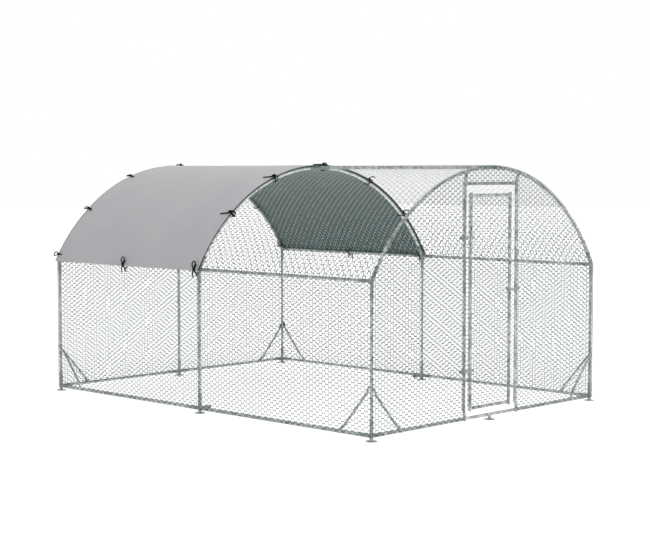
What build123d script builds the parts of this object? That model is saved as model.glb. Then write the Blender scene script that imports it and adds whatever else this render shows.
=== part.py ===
"""A walk-in chicken coop: two bays of round tube under an arched roof, wire netting on every side, a hinged
door with a sliding bolt in one end wall, and a cover tied over the rear bay."""

from build123d import *
import os
from math import asin, ceil, cos, degrees, floor, pi, radians, sin, sqrt, tan

# Driving dimensions in millimetres. X runs across, Y along with the door at -Y, and Z up from the ground.
WIDTH = 2775.0  # between the axes of the left and right posts
BAY = 1880.0  # between the axes of neighbouring arches
BASE_HEIGHT = 41.0  # axis of the base rails
EAVE_HEIGHT = 1168.0  # axis of the eave rails
RIDGE_HEIGHT = 1988.0  # axis of the ridge rails
TUBE_D = 25.0
TUBE_WALL = 1.2

# Sleeve joints
SLEEVE_WALL = 1.9
SLEEVE_CLEARANCE = 0.1  # round a tube in its sleeve
SLEEVE_ARM = 120.0  # from a joint's centre to the end of a sleeve
SOCKET_ARM = 110.0  # the unused inward socket of a middle base joint
TUBE_STOP = 18.0  # from a joint's centre to the end of a tube seated in it
HUB_INSET = 0.5  # of the rounded hub below the face of the sleeves

# Feet
FOOT_D = 85.0
FOOT_T = 3.0
SPIGOT_END_GAP = 0.5

# Set screws of the sleeves
SCREW_D = 6.0
SCREW_CLEARANCE = 0.1  # round the shank
SCREW_AT = 75.0  # from a joint's centre
SCREW_HEAD_WIDTH = 10.0
SCREW_HEAD_H = 4.0

# Flattened tube ends, cranked out to lap the outer side of another tube, and their bolts
TAB_T = 3.0
TAB_FLAT = 28.0  # from the bolt to the start of the taper
TAB_TAPER = 45.0
TAB_EDGE_R = 1.45  # rounding of a flat end's sides
BOLT_D = 6.0
BOLT_CLEARANCE = 0.2
BOLT_HEAD_WIDTH = 10.0
BOLT_HEAD_H = 4.0
VENT_D = 5.0  # drains the closed tubes
VENT_AT = 20.0  # from the end of the taper

# Corner braces
BRACE_D = 19.0
BRACE_TOP = 404.0  # upper bolt of a side wall's brace
BRACE_STAGGER = 18.0  # an end wall's brace meets the post this much lower
BRACE_REACH = 311.0  # along the base rail from the post's axis

# Door posts and header
DOOR_POST_X = 328.0
HEADER_HEIGHT = 1864.0
RAIL_BUTT_GAP = 0.4  # between the halves of the front base rail
COPE_CLEARANCE = 0.05  # of a tube end cut to the side of another tube

# Door leaf
LEAF_X = 248.0  # axis of each stile
LEAF_BOTTOM = 115.0
LEAF_TOP = 1772.0
STILE_OVERRUN = 22.0  # of the stiles past the axes of the rails

# Clamps round the door posts and the stiles
CLAMP_WALL = 2.4
CLAMP_CLEARANCE = 0.1
CLAMP_H = 26.0
EAR_T = 2.5
EAR_GAP = 3.0
EAR_END = 7.0  # from an ear's bolt to its end
POST_EAR_BOLT = 42.0  # from the tube's axis to the bolt
LEAF_EAR_BOLT = 28.0
EAR_BOLT_D = 5.0
EAR_BOLT_CLEARANCE = 0.2
EAR_BOLT_HEAD_WIDTH = 8.0
EAR_BOLT_HEAD_H = 3.5
EAR_BOLT_TAIL = 1.5

# Hinges
HINGE_HEIGHTS = (410.0, 1445.0)
HINGE_PIN_D = 8.0
HINGE_FIT = 0.08  # round the pin
HINGE_WALL = 4.0  # round the eye
HINGE_WEB_T = 6.0
HINGE_SHELF_H = 10.0  # of the pin's shelf on the post
HINGE_EYE_H = 13.7
HINGE_END_GAP = 0.3  # between the shelf and the eye
HINGE_PIN_PROUD = 4.0  # of the pin above the eye

# Latch
LATCH_HEIGHT = 1020.0
LATCH_OFFSET = 23.0  # of the sliding bolt in front of the stile's axis
LATCH_BOLT_D = 8.0
LATCH_FIT = 0.08  # round the bolt in its guide
LATCH_GUIDE_L = 70.0
LATCH_WALL = 4.0
LATCH_BOLT_BACK = 40.0  # bolt behind the stile's axis, drawn back
LATCH_BOLT_FRONT = 52.0  # bolt past the stile's axis, drawn back
LATCH_TRAVEL = 36.0
LATCH_HANDLE_D = 5.0
LATCH_HANDLE_L = 13.0
LATCH_HANDLE_BACK = 18.0  # handle behind the stile's axis, drawn back
LATCH_KNOB_D = 11.0
LATCH_SLOT_CLEARANCE = 0.5
KEEPER_W = 11.0
KEEPER_CLEARANCE = 0.4
KEEPER_EDGE_GAP = 0.5  # from the keeper to the net beside it

# Netting
NET_T = 1.2
NET_STRAND = 2.4
NET_BORDER = 4.0
NET_LAP = 10.0  # past the axes of the tubes at its edges
NET_SPLIT = 0.4  # between neighbouring nets
NET_CELLS = 6  # steps of two columns of cells in a bay
NET_SMALLEST_GAP = 40.0  # area in square millimetres
SIDE_CELL_DROP = 30.0  # of the top row of cells below the eave
SEAT_GAP = 0.3
STRIPS_PER_HALF_ARCH = 6  # flat strips of roof net
ROOF_CELL_SHIFT = -30.0  # of the roof nets' cells along the arch, clear of the ties
REAR_CELL_SHIFT = (20.0, -4.0)  # of the rear nets' first cell, across and up, clear of the ties

# Cover and its eyelets
COVER_T = 1.5
COVER_OVERHANG = 22.0  # past the axes of the arches and of the eave rails
EYELET_INSET = 27.0  # from the axis of the tube that a tie goes round
EYELET_HOLE_D = 13.5
EYELET_WALL = 1.0
EYELET_FLANGE_D = 22.0
EYELET_FLANGE_T = 0.8
EYELET_CLEARANCE = 0.1

# Ties. A route is in its tie's own frame: from the knot to the cover's edge, along the tube, out.
TIE_D = 10.0
TIE_RING_CORNER_R = 8.0
TIE_CLEARANCE = 0.5
TIE_EDGE_GAP = 2.5  # between a tie and the cover's edge
TIE_LIFT = 0.3  # above the eyelets
KNOT_AT = 10.0  # from the axis of the tube towards the cover's edge
KNOT_D = 21.0
KNOT_RISE = 5.5  # of the knot's centre above the cord under it
TIE_CORNER_SHARE = 0.45  # of the shorter run beside a rounded corner of a route
FRONT_LEFT_TIES = (-1128.0, -564.0, 42.0)  # along the arch from the ridge
FRONT_RIGHT_TIES = (640.0, 1187.0)
REAR_TIES = (-1128.0, -564.0, 42.0, 564.0, 1128.0)
CORNER_TIE_RISE = 45.0  # of the rear corners' ties along the arch from the eave
FRONT_LOOP = (
    (6, 5.5, 1),
    (15, 12, 2),
    (25, 17, -5),
    (31, 19, -18),
    (33.5, 11, -31),
    (34, -5, -36),
    (32, -18, -26),
    (28, -19.5, -11),
    (17, -13, 2),
    (6, -5.5, 1),
)
FRONT_TAIL = (
    (-5.5, -5.5, 1),
    (-20, -10.5, 0.5),
    (-39, -14, 0),
    (-60, -15, -0.5),
    (-81, -18.5, -0.9),
    (-100, -24.5, -0.9),
)
LEFT_EAR = ((-3, 5, 8), (8, 4, 12.5), (21, 2, 13), (34, 0, 8), (45, -1, -1), (52, -2, -11))
RIGHT_EAR = ((-3, 5, 8), (5, 4.5, 17), (17, 4, 23), (32, 3, 25), (48, 2, 23), (63, 0, 17))
REAR_LOOP = (
    (6, 5.5, 2),
    (18, 11, 3),
    (31, 14, 3),
    (43, 14, 2.5),
    (52.5, 6.5, 2),
    (53, -6, 2),
    (44, -14, 2.5),
    (31, -14.5, 3),
    (18, -11, 3),
    (6, -5.5, 2),
)
REAR_TAIL = ((-5.5, 5.5, 1), (-19, 11.5, 0.5), (-36, 14.5, 0), (-52, 19.5, -0.9), (-66, 26, -0.9))
CORNER_LOOP = (
    (6, 5.5, 2),
    (19, 13, 3),
    (35, 18, 3),
    (50, 18.5, 3),
    (60.5, 8.5, 2),
    (61, -7.5, 2),
    (51, -18, 3),
    (36, -18.5, 3),
    (19, -13, 3),
    (6, -5.5, 2),
)
EAVE_LOOP = (
    (-4.8, -6, 5),
    (-15, -18, 10.5),
    (-28, -28, 11.5),
    (-42, -34, 13),
    (-55, -28.5, 14),
    (-60.5, -14, 14),
    (-54.5, -0.5, 13),
    (-40, 5, 11.5),
    (-22.5, 6, 10.5),
    (-5.8, 5, 5),
)
EAVE_TAIL = ((5.6, -5.5, 0.7), (19, -7.5, 0), (34, -8, -10), (49, -10, -21), (64, -13, -32))
EAVE_SIDE_TAIL = ((5.6, 5.5, 0.7), (18, 14, 0), (30, 25, -8), (43, 34, -18.5), (56, 45, -28))

# Sizes that follow
TUBE_R = TUBE_D / 2
SLEEVE_BORE_R = TUBE_R + SLEEVE_CLEARANCE
SLEEVE_R = SLEEVE_BORE_R + SLEEVE_WALL
HALF_WIDTH = WIDTH / 2
RISE = RIDGE_HEIGHT - EAVE_HEIGHT
ARCH_RADIUS = (HALF_WIDTH**2 + RISE**2) / (2 * RISE)
ARCH_CENTRE_Z = RIDGE_HEIGHT - ARCH_RADIUS
EAVE_ANGLE = degrees(asin(HALF_WIDTH / ARCH_RADIUS))  # from the ridge
ARM_ANGLE = degrees(SLEEVE_ARM / ARCH_RADIUS)
STOP_ANGLE = degrees(TUBE_STOP / ARCH_RADIUS)
DOOR_POST_ANGLE = degrees(asin(DOOR_POST_X / ARCH_RADIUS))
HINGE_X = -(DOOR_POST_X + LEAF_X) / 2
CLAMP_BORE_R = TUBE_R + CLAMP_CLEARANCE
CLAMP_R = CLAMP_BORE_R + CLAMP_WALL
LATCH_REACH = LATCH_OFFSET + LATCH_BOLT_D / 2 + LATCH_WALL
WALL_NET_SEAT = TUBE_R + TAB_T + SEAT_GAP
ROOF_NET_SEAT = SLEEVE_R + SEAT_GAP
DOOR_NET_SEAT = CLAMP_R + SEAT_GAP
HEX_SIDE = (BAY - 2 * EYELET_INSET) / (3 * NET_CELLS)
COLUMN_STEP = 1.5 * HEX_SIDE
ROW_STEP = sqrt(3) * HEX_SIDE
STRIP_ANGLE = EAVE_ANGLE / STRIPS_PER_HALF_ARCH
COVER_SEAT = (ARCH_RADIUS + ROOF_NET_SEAT + NET_T) / cos(radians(STRIP_ANGLE / 2)) - ARCH_RADIUS + SEAT_GAP
COVER_EDGE_ANGLE = EAVE_ANGLE + degrees(COVER_OVERHANG / ARCH_RADIUS)
EYELET_TOP = COVER_T / 2 + EYELET_CLEARANCE + EYELET_FLANGE_T
TIE_LEVEL = COVER_SEAT + COVER_T / 2 + EYELET_TOP + TIE_LIFT + TIE_D / 2
TIE_UNDER = SLEEVE_R + TIE_CLEARANCE + TIE_D / 2
TIE_OUTER = COVER_OVERHANG + TIE_EDGE_GAP + TIE_D / 2

LEFT_RIGHT = {"left": -1, "right": 1}
FRONT_REAR = {"front": -1, "rear": 1}
UP = Vector(0, 0, 1)
ALONG = Vector(0, 1, 0)
ACROSS = Vector(1, 0, 0)

os.makedirs("parts", exist_ok=True)
screw_seats = []
bolt_seats = []


def save(part, label):
    """Labels a finished piece and writes it."""
    part.label = label
    export_step(part, f"parts/{label}.step", write_pcurves=False)


def arch_out(angle):
    """Direction straight out from the arch at an angle from the ridge, positive towards +X."""
    return Vector(sin(radians(angle)), 0, cos(radians(angle)))


def arch_along(angle):
    """Direction along the arch, the way the angle grows."""
    return Vector(cos(radians(angle)), 0, -sin(radians(angle)))


def arch_point(angle, y, offset=0.0):
    """A point of the arch at an angle from the ridge, moved out by an offset."""
    return Vector(0, y, ARCH_CENTRE_Z) + arch_out(angle) * (ARCH_RADIUS + offset)


def rod(start, direction, length, radius, mode=Mode.ADD):
    """Adds a straight round bar to the part being made, or cuts it out."""
    with BuildSketch(Plane(origin=start, z_dir=direction)) as disc:
        Circle(radius)
    extrude(disc.sketch, amount=length, mode=mode)


def arch_rod(y, start, end, radius, mode=Mode.ADD):
    """Adds a round bar along the arch between two rising angles, or cuts it out."""
    with BuildSketch(Plane(origin=arch_point(start, y), x_dir=ALONG, z_dir=arch_along(start))) as disc:
        Circle(radius)
    revolve(disc.sketch, Axis((0, y, ARCH_CENTRE_Z), ALONG), end - start, mode=mode)


def bolt_hole(point, direction):
    """Cuts a bolt's hole through both walls of the tube being made."""
    rod(point - direction * TUBE_D, direction, 2 * TUBE_D, BOLT_D / 2 + BOLT_CLEARANCE, Mode.SUBTRACT)


def frame_tube(start, end, holes=()):
    """A straight tube between two points, with bolt holes given as points and directions."""
    run = end - start
    with BuildPart() as body:
        rod(start, run, run.length, TUBE_R)
        rod(start, run, run.length, TUBE_R - TUBE_WALL, Mode.SUBTRACT)
        for point, direction in holes:
            bolt_hole(point, direction)
    return body.part


def jointed_tube(start, end, holes=()):
    """A straight tube seated in the joints centred on two points."""
    inset = (end - start).normalized() * TUBE_STOP
    return frame_tube(start + inset, end - inset, holes)


def coped_rail(half_length, height):
    """A level tube of the front wall, its ends cut to the sides of two uprights."""
    start = (-half_length, -BAY, height)
    with BuildPart() as body:
        rod(start, ACROSS, 2 * half_length, TUBE_R)
        rod(start, ACROSS, 2 * half_length, TUBE_R - TUBE_WALL, Mode.SUBTRACT)
        for across in LEFT_RIGHT.values():
            upright = (across * half_length, -BAY, height - TUBE_D)
            rod(upright, UP, 2 * TUBE_D, TUBE_R + COPE_CLEARANCE, Mode.SUBTRACT)
    return body.part


def arch_tube(y, start, end, holes=()):
    """A tube bent to the arch between two angles."""
    with BuildPart() as body:
        arch_rod(y, start, end, TUBE_R)
        arch_rod(y, start, end, TUBE_R - TUBE_WALL, Mode.SUBTRACT)
        for point, direction in holes:
            bolt_hole(point, direction)
    return body.part


def sleeve_joint(centre, arms, angle=0.0, arch_arms=()):
    """Sleeves that meet in one hub. An arm is a direction, a length and its set screw's side, if it has one.
    An arch arm is the way that it leaves the joint's angle on the arch and its set screw's side."""
    with BuildPart() as body:
        with Locations(centre):
            Sphere(SLEEVE_R - HUB_INSET)
        for direction, length, _ in arms:
            rod(centre, direction, length, SLEEVE_R)
        for way, _ in arch_arms:
            start, end = sorted((angle, angle + way * ARM_ANGLE))
            arch_rod(centre.Y, start, end, SLEEVE_R)
        for direction, length, _ in arms:
            rod(centre + direction * TUBE_STOP, direction, length, SLEEVE_BORE_R, Mode.SUBTRACT)
        for way, _ in arch_arms:
            start, end = sorted((angle + way * STOP_ANGLE, angle + way * (ARM_ANGLE + STOP_ANGLE)))
            arch_rod(centre.Y, start, end, SLEEVE_BORE_R, Mode.SUBTRACT)
        seats = [(centre + direction * SCREW_AT, side) for direction, _, side in arms if side]
        for way, side in arch_arms:
            seats.append((arch_point(angle + way * degrees(SCREW_AT / ARCH_RADIUS), centre.Y), side))
        for point, side in seats:
            rod(point, side, 2 * SLEEVE_R, SCREW_D / 2 + SCREW_CLEARANCE, Mode.SUBTRACT)
            screw_seats.append(Plane(origin=point, z_dir=side))
    return body.part


def flattened_tube(length, diameter):
    """A tube along X between its two bolts, with flat ends cranked out towards +Z."""
    radius = diameter / 2
    tab_width = (diameter - TAB_T) * pi / 2 + TAB_T
    tab_level = TUBE_R + TAB_T / 2
    bolts = (0, length)
    with BuildPart() as body:
        rod((TAB_FLAT + TAB_TAPER, 0, 0), ACROSS, length - 2 * (TAB_FLAT + TAB_TAPER), radius)
        for bolt, way in zip(bolts, (1, -1)):
            with BuildSketch(Plane.XY.offset(TUBE_R)):
                with Locations((bolt, 0)):
                    Circle(tab_width / 2)
                with Locations((bolt + way * TAB_FLAT / 2, 0)):
                    Rectangle(TAB_FLAT, tab_width)
            extrude(amount=TAB_T)
            flat = Plane(origin=(bolt + way * TAB_FLAT, 0, tab_level), x_dir=ALONG, z_dir=ACROSS)
            round_end = Plane(origin=(bolt + way * (TAB_FLAT + TAB_TAPER), 0, 0), x_dir=ALONG, z_dir=ACROSS)
            with BuildSketch(flat):
                RectangleRounded(tab_width, TAB_T, TAB_EDGE_R)
            with BuildSketch(round_end):
                Circle(radius)
            loft()
            rod((bolt, 0, 0), UP, TUBE_D, BOLT_D / 2 + BOLT_CLEARANCE, Mode.SUBTRACT)
        bore_start = TAB_FLAT + TAB_TAPER
        rod((bore_start, 0, 0), ACROSS, length - 2 * bore_start, radius - TUBE_WALL, Mode.SUBTRACT)
        for vent in (bore_start + VENT_AT, length - bore_start - VENT_AT):
            rod((vent, 0, 0), -UP, diameter, VENT_D / 2, Mode.SUBTRACT)
    return body.part


def clamp(x, height, ears_to, ear_bolt):
    """Adds a strap clamped round an upright tube of the door, with its two ears on one side."""
    ear_length = ear_bolt + EAR_END
    with BuildSketch(Plane(origin=(x, -BAY, height - CLAMP_H / 2))) as strap:
        Circle(CLAMP_R)
        with Locations((ears_to * ear_length / 2, 0)):
            Rectangle(ear_length, EAR_GAP + 2 * EAR_T)
        Circle(CLAMP_BORE_R, mode=Mode.SUBTRACT)
        with Locations((ears_to * ear_length / 2, 0)):
            Rectangle(ear_length, EAR_GAP, mode=Mode.SUBTRACT)
    extrude(strap.sketch, amount=CLAMP_H)
    bolt_x = x + ears_to * ear_bolt
    rod(
        (bolt_x, -BAY - TUBE_D, height), ALONG, 2 * TUBE_D, EAR_BOLT_D / 2 + EAR_BOLT_CLEARANCE, Mode.SUBTRACT
    )


def cell_centres(low, high, origin):
    """Centres of the cells that cover a rectangle, in staggered columns counted from one cell."""
    columns = range(
        floor((low[0] - origin[0]) / COLUMN_STEP), ceil((high[0] - origin[0]) / COLUMN_STEP) + 1
    )
    rows = range(floor((low[1] - origin[1]) / ROW_STEP) - 1, ceil((high[1] - origin[1]) / ROW_STEP) + 1)
    return [
        (origin[0] + column * COLUMN_STEP, origin[1] + (row + 0.5 * (column % 2)) * ROW_STEP)
        for column in columns
        for row in rows
    ]


def panel(low, high, inset=0.0):
    """A rectangle between two corners, drawn in by an inset."""
    with BuildSketch() as outline:
        with Locations(((low[0] + high[0]) / 2, (low[1] + high[1]) / 2)):
            Rectangle(high[0] - low[0] - 2 * inset, high[1] - low[1] - 2 * inset)
    return outline.sketch


def arched_panel(low, high, inset=0.0):
    """A rectangle between two corners, cut to the walls and the arch of the coop's end."""
    half_width = HALF_WIDTH + NET_LAP - inset
    with BuildSketch() as outline:
        with Locations((0, ARCH_CENTRE_Z)):
            Circle(ARCH_RADIUS + NET_LAP - inset)
        with Locations((0, EAVE_HEIGHT / 2)):
            Rectangle(2 * half_width, EAVE_HEIGHT)
        add(panel(low, high, inset), mode=Mode.INTERSECT)
    return outline.sketch


def hex_net(plane, shape, low, high, origin):
    """A flat net in a plane: an outline with a border all round and hexagonal gaps within it."""
    outline = shape(low, high).face()
    room = shape(low, high, NET_BORDER).face()
    gap_r = HEX_SIDE - NET_STRAND / sqrt(3)
    gaps = []
    for x, y in cell_centres(low, high, origin):
        corners = [Vector(x, y) + ACROSS.rotate(Axis.Z, 60 * i) * gap_r for i in range(6)]
        cell = Wire.make_polygon(corners)
        if all(room.is_inside(corner) for corner in corners):
            gaps.append(cell)
            continue
        for part_cell in Face(cell).intersect(room) or ():
            if isinstance(part_cell, Face) and part_cell.area > NET_SMALLEST_GAP:
                gaps.append(part_cell.outer_wire())
    with BuildPart() as net:
        extrude(plane * Face(outline.outer_wire(), gaps), amount=NET_T)
    return net.part


def cord(route):
    """A round cord along hand-placed points, its corners rounded as far as their runs allow."""
    points = [Vector(along + KNOT_AT, across, out + TIE_LEVEL) for along, across, out in route]
    radii = []
    for before, corner, after in zip(points, points[1:], points[2:]):
        turn = (corner - before).get_angle(after - corner)
        shorter = min((corner - before).length, (after - corner).length)
        radii.append(TIE_CORNER_SHARE * shorter / tan(radians(turn / 2)))
    with BuildPart() as body:
        with BuildLine() as line:
            FilletPolyline(*points, radius=radii)
        with BuildSketch(Plane(origin=line.line @ 0, z_dir=line.line % 0)):
            Circle(TIE_D / 2)
        sweep()
    length = sum(edge.length for edge in line.edges())
    print("cord length", round(length, 1), "radii", [round(radius, 1) for radius in radii])
    return body.part


# Posts, with the bolt holes of the corner braces
brace_planes = []
brace_holes = {}
for side, across in LEFT_RIGHT.items():
    for end, along in FRONT_REAR.items():
        foot = Vector(across * HALF_WIDTH, along * BAY, 0)
        walls = (
            (ACROSS * across, ALONG * -along, BRACE_TOP),
            (ALONG * along, ACROSS * -across, BRACE_TOP - BRACE_STAGGER),
        )
        for outward, inward, top in walls:
            upper = foot + UP * top
            lower = foot + inward * BRACE_REACH + UP * BASE_HEIGHT
            run = lower - upper
            brace_planes.append((Plane(origin=upper, x_dir=run, z_dir=outward), run.length))
            brace_holes.setdefault((side, end, "post"), []).append((upper, outward))
            brace_holes.setdefault((side, end, "side" if outward.X else "end"), []).append((lower, outward))
            bolt_seats.append(Plane(origin=upper, z_dir=outward))
            bolt_seats.append(Plane(origin=lower, z_dir=outward))
        post = jointed_tube(
            foot + UP * BASE_HEIGHT, foot + UP * EAVE_HEIGHT, brace_holes[side, end, "post"]
        )
        save(post, f"post_{end}_{side}")
    base = Vector(across * HALF_WIDTH, 0, BASE_HEIGHT)
    save(jointed_tube(base, Vector(base.X, 0, EAVE_HEIGHT)), f"post_middle_{side}")
rear_base = Vector(0, BAY, BASE_HEIGHT)
save(jointed_tube(rear_base, Vector(0, BAY, RIDGE_HEIGHT)), "post_rear_centre")

# Base and eave rails along the sides
for side, across in LEFT_RIGHT.items():
    for end, along in FRONT_REAR.items():
        middle = Vector(across * HALF_WIDTH, 0, BASE_HEIGHT)
        rail = jointed_tube(middle, middle + ALONG * along * BAY, brace_holes[side, end, "side"])
        save(rail, f"base_rail_{side}_{end}")
    with BuildPart() as eave_rails:
        for along in FRONT_REAR.values():
            middle = Vector(across * HALF_WIDTH, 0, EAVE_HEIGHT)
            add(jointed_tube(middle, middle + ALONG * along * BAY))
    save(eave_rails.part, f"eave_rails_{side}")
with BuildPart() as ridge_rails:
    for along in FRONT_REAR.values():
        middle = Vector(0, 0, RIDGE_HEIGHT)
        add(jointed_tube(middle, middle + ALONG * along * BAY))
save(ridge_rails.part, "ridge_rails")

# Base rails across the ends: the front halves meet on an inner joiner, the rear halves in the rear joint
with BuildPart() as front_rails:
    for side, across in LEFT_RIGHT.items():
        corner = Vector(across * HALF_WIDTH, -BAY, BASE_HEIGHT)
        middle = Vector(0, -BAY, BASE_HEIGHT)
        door_post_foot = (Vector(across * DOOR_POST_X, -BAY, BASE_HEIGHT), -ALONG)
        holes = brace_holes[side, "front", "end"] + [door_post_foot]
        start = corner - ACROSS * across * TUBE_STOP
        add(frame_tube(start, middle + ACROSS * across * RAIL_BUTT_GAP / 2, holes))
save(front_rails.part, "base_rails_front")
with BuildPart() as joiner:
    joiner_r = TUBE_R - TUBE_WALL - SLEEVE_CLEARANCE
    rod((-SLEEVE_ARM, -BAY, BASE_HEIGHT), ACROSS, 2 * SLEEVE_ARM, joiner_r)
    rod((-SLEEVE_ARM, -BAY, BASE_HEIGHT), ACROSS, 2 * SLEEVE_ARM, joiner_r - TUBE_WALL, Mode.SUBTRACT)
save(joiner.part, "base_rail_joiner")
with BuildPart() as rear_rails:
    for side, across in LEFT_RIGHT.items():
        corner = rear_base + ACROSS * across * HALF_WIDTH
        add(jointed_tube(rear_base, corner, brace_holes[side, "rear", "end"]))
save(rear_rails.part, "base_rails_rear")

# Half arches
for name, y in (("front", -BAY), ("middle", 0.0), ("rear", BAY)):
    for side, across in LEFT_RIGHT.items():
        start, end = sorted((across * STOP_ANGLE, across * (EAVE_ANGLE - STOP_ANGLE)))
        holes = [(arch_point(across * DOOR_POST_ANGLE, y), -ALONG)] if name == "front" else []
        save(arch_tube(y, start, end, holes), f"arch_{name}_{side}")

# Joints
foot_arm = (-UP, BASE_HEIGHT - FOOT_T, None)
with BuildPart() as base_corners:
    for across in LEFT_RIGHT.values():
        for along in FRONT_REAR.values():
            inward = ACROSS * -across
            arms = (
                (UP, SLEEVE_ARM, inward),
                (ALONG * -along, SLEEVE_ARM, inward),
                (inward, SLEEVE_ARM, ALONG * -along),
                foot_arm,
            )
            add(sleeve_joint(Vector(across * HALF_WIDTH, along * BAY, BASE_HEIGHT), arms))
save(base_corners.part, "base_corner_joints")
with BuildPart() as base_middles:
    for across in LEFT_RIGHT.values():
        inward = ACROSS * -across
        arms = (
            (UP, SLEEVE_ARM, inward),
            (ALONG, SLEEVE_ARM, inward),
            (-ALONG, SLEEVE_ARM, inward),
            (inward, SOCKET_ARM, None),
            foot_arm,
        )
        add(sleeve_joint(Vector(across * HALF_WIDTH, 0, BASE_HEIGHT), arms))
save(base_middles.part, "base_middle_joints")
rear_arms = (
    (UP, SLEEVE_ARM, -ALONG),
    (ACROSS, SLEEVE_ARM, -ALONG),
    (-ACROSS, SLEEVE_ARM, -ALONG),
    foot_arm,
)
save(sleeve_joint(rear_base, rear_arms), "base_rear_joint")
with BuildPart() as eave_corners:
    for across in LEFT_RIGHT.values():
        for along in FRONT_REAR.values():
            inward = ACROSS * -across
            arms = ((-UP, SLEEVE_ARM, inward), (ALONG * -along, SLEEVE_ARM, inward))
            arch_arms = ((-across, ALONG * -along),)
            centre = Vector(across * HALF_WIDTH, along * BAY, EAVE_HEIGHT)
            add(sleeve_joint(centre, arms, across * EAVE_ANGLE, arch_arms))
save(eave_corners.part, "eave_corner_joints")
with BuildPart() as eave_middles:
    for across in LEFT_RIGHT.values():
        inward = ACROSS * -across
        arms = ((-UP, SLEEVE_ARM, inward), (ALONG, SLEEVE_ARM, inward), (-ALONG, SLEEVE_ARM, inward))
        centre = Vector(across * HALF_WIDTH, 0, EAVE_HEIGHT)
        add(sleeve_joint(centre, arms, across * EAVE_ANGLE, ((-across, -ALONG),)))
save(eave_middles.part, "eave_middle_joints")
with BuildPart() as ridge_joints:
    for y, ways, has_post in ((-BAY, (1,), False), (0.0, (-1, 1), False), (BAY, (-1,), True)):
        arms = [(ALONG * way, SLEEVE_ARM, -UP) for way in ways]
        if has_post:
            arms.append((-UP, SLEEVE_ARM, -ALONG))
        screw_side = ALONG if y < 0 else -ALONG
        arch_arms = ((-1, screw_side), (1, screw_side))
        add(sleeve_joint(Vector(0, y, RIDGE_HEIGHT), arms, 0.0, arch_arms))
save(ridge_joints.part, "ridge_joints")

# Feet under the base joints, and one whose stub is cut to the front rail
foot_places = [
    Vector(across * HALF_WIDTH, y, 0) for across in LEFT_RIGHT.values() for y in (-BAY, 0, BAY)
]
foot_places.append(Vector(0, BAY, 0))
with BuildPart() as feet:
    for place in foot_places:
        rod(place, UP, FOOT_T, FOOT_D / 2)
        rod(place + UP * FOOT_T, UP, BASE_HEIGHT - TUBE_STOP - SPIGOT_END_GAP - FOOT_T, TUBE_R)
    rod((0, -BAY, 0), UP, FOOT_T, FOOT_D / 2)
    rod((0, -BAY, 0), UP, BASE_HEIGHT, TUBE_R)
    rail_start = (-FOOT_D, -BAY, BASE_HEIGHT)
    rod(rail_start, ACROSS, 2 * FOOT_D, TUBE_R + COPE_CLEARANCE, Mode.SUBTRACT)
save(feet.part, "foot_plates")

# Corner braces
with BuildPart() as braces:
    for plane, length in brace_planes:
        with Locations(plane):
            add(flattened_tube(length, BRACE_D))
save(braces.part, "corner_braces")

# Door posts, whose flat ends lap the front base rail and the front arch
for side, across in LEFT_RIGHT.items():
    low = Vector(across * DOOR_POST_X, -BAY, BASE_HEIGHT)
    high = arch_point(across * DOOR_POST_ANGLE, -BAY)
    with BuildPart() as door_post:
        with Locations(Plane(origin=low, x_dir=UP, z_dir=-ALONG)):
            add(flattened_tube((high - low).length, TUBE_D))
    save(door_post.part, f"door_post_{side}")
    bolt_seats.append(Plane(origin=low, z_dir=-ALONG))
    bolt_seats.append(Plane(origin=high, z_dir=-ALONG))
save(coped_rail(DOOR_POST_X, HEADER_HEIGHT), "door_header")

# Door leaf: two stiles, and two rails cut to their sides
with BuildPart() as leaf:
    for across in LEFT_RIGHT.values():
        bottom = Vector(across * LEAF_X, -BAY, LEAF_BOTTOM - STILE_OVERRUN)
        add(frame_tube(bottom, Vector(bottom.X, -BAY, LEAF_TOP + STILE_OVERRUN)))
    for height in (LEAF_BOTTOM, LEAF_TOP):
        add(coped_rail(LEAF_X, height))
save(leaf.part, "door_leaf_frame")

# Hinges: a pin on a shelf of the post's clamp, and an eye on the stile's clamp that sits on it
with BuildPart() as hinge_posts:
    for height in HINGE_HEIGHTS:
        clamp(-DOOR_POST_X, height, -1, POST_EAR_BOLT)
        shelf = height - CLAMP_H / 2
        web_start = -DOOR_POST_X + CLAMP_BORE_R + CLAMP_WALL / 2
        with BuildSketch(Plane(origin=(0, -BAY, shelf))):
            with Locations((HINGE_X, 0)):
                Circle(HINGE_PIN_D / 2 + HINGE_WALL)
            with Locations(((web_start + HINGE_X) / 2, 0)):
                Rectangle(HINGE_X - web_start, HINGE_WEB_T)
        extrude(amount=HINGE_SHELF_H)
        pin_length = HINGE_SHELF_H + HINGE_END_GAP + HINGE_EYE_H + HINGE_PIN_PROUD
        rod((HINGE_X, -BAY, shelf), UP, pin_length, HINGE_PIN_D / 2)
save(hinge_posts.part, "hinge_post_brackets")
with BuildPart() as hinge_leaves:
    for height in HINGE_HEIGHTS:
        clamp(-LEAF_X, height, 1, LEAF_EAR_BOLT)
        eye = height - CLAMP_H / 2 + HINGE_SHELF_H + HINGE_END_GAP
        web_end = -LEAF_X - CLAMP_BORE_R - CLAMP_WALL / 2
        with BuildSketch(Plane(origin=(0, -BAY, eye))):
            with Locations((HINGE_X, 0)):
                Circle(HINGE_PIN_D / 2 + HINGE_WALL)
            with Locations(((web_end + HINGE_X) / 2, 0)):
                Rectangle(web_end - HINGE_X, HINGE_WEB_T)
            with Locations((HINGE_X, 0)):
                Circle(HINGE_PIN_D / 2 + HINGE_FIT, mode=Mode.SUBTRACT)
        extrude(amount=HINGE_EYE_H)
save(hinge_leaves.part, "hinge_leaf_brackets")

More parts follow.
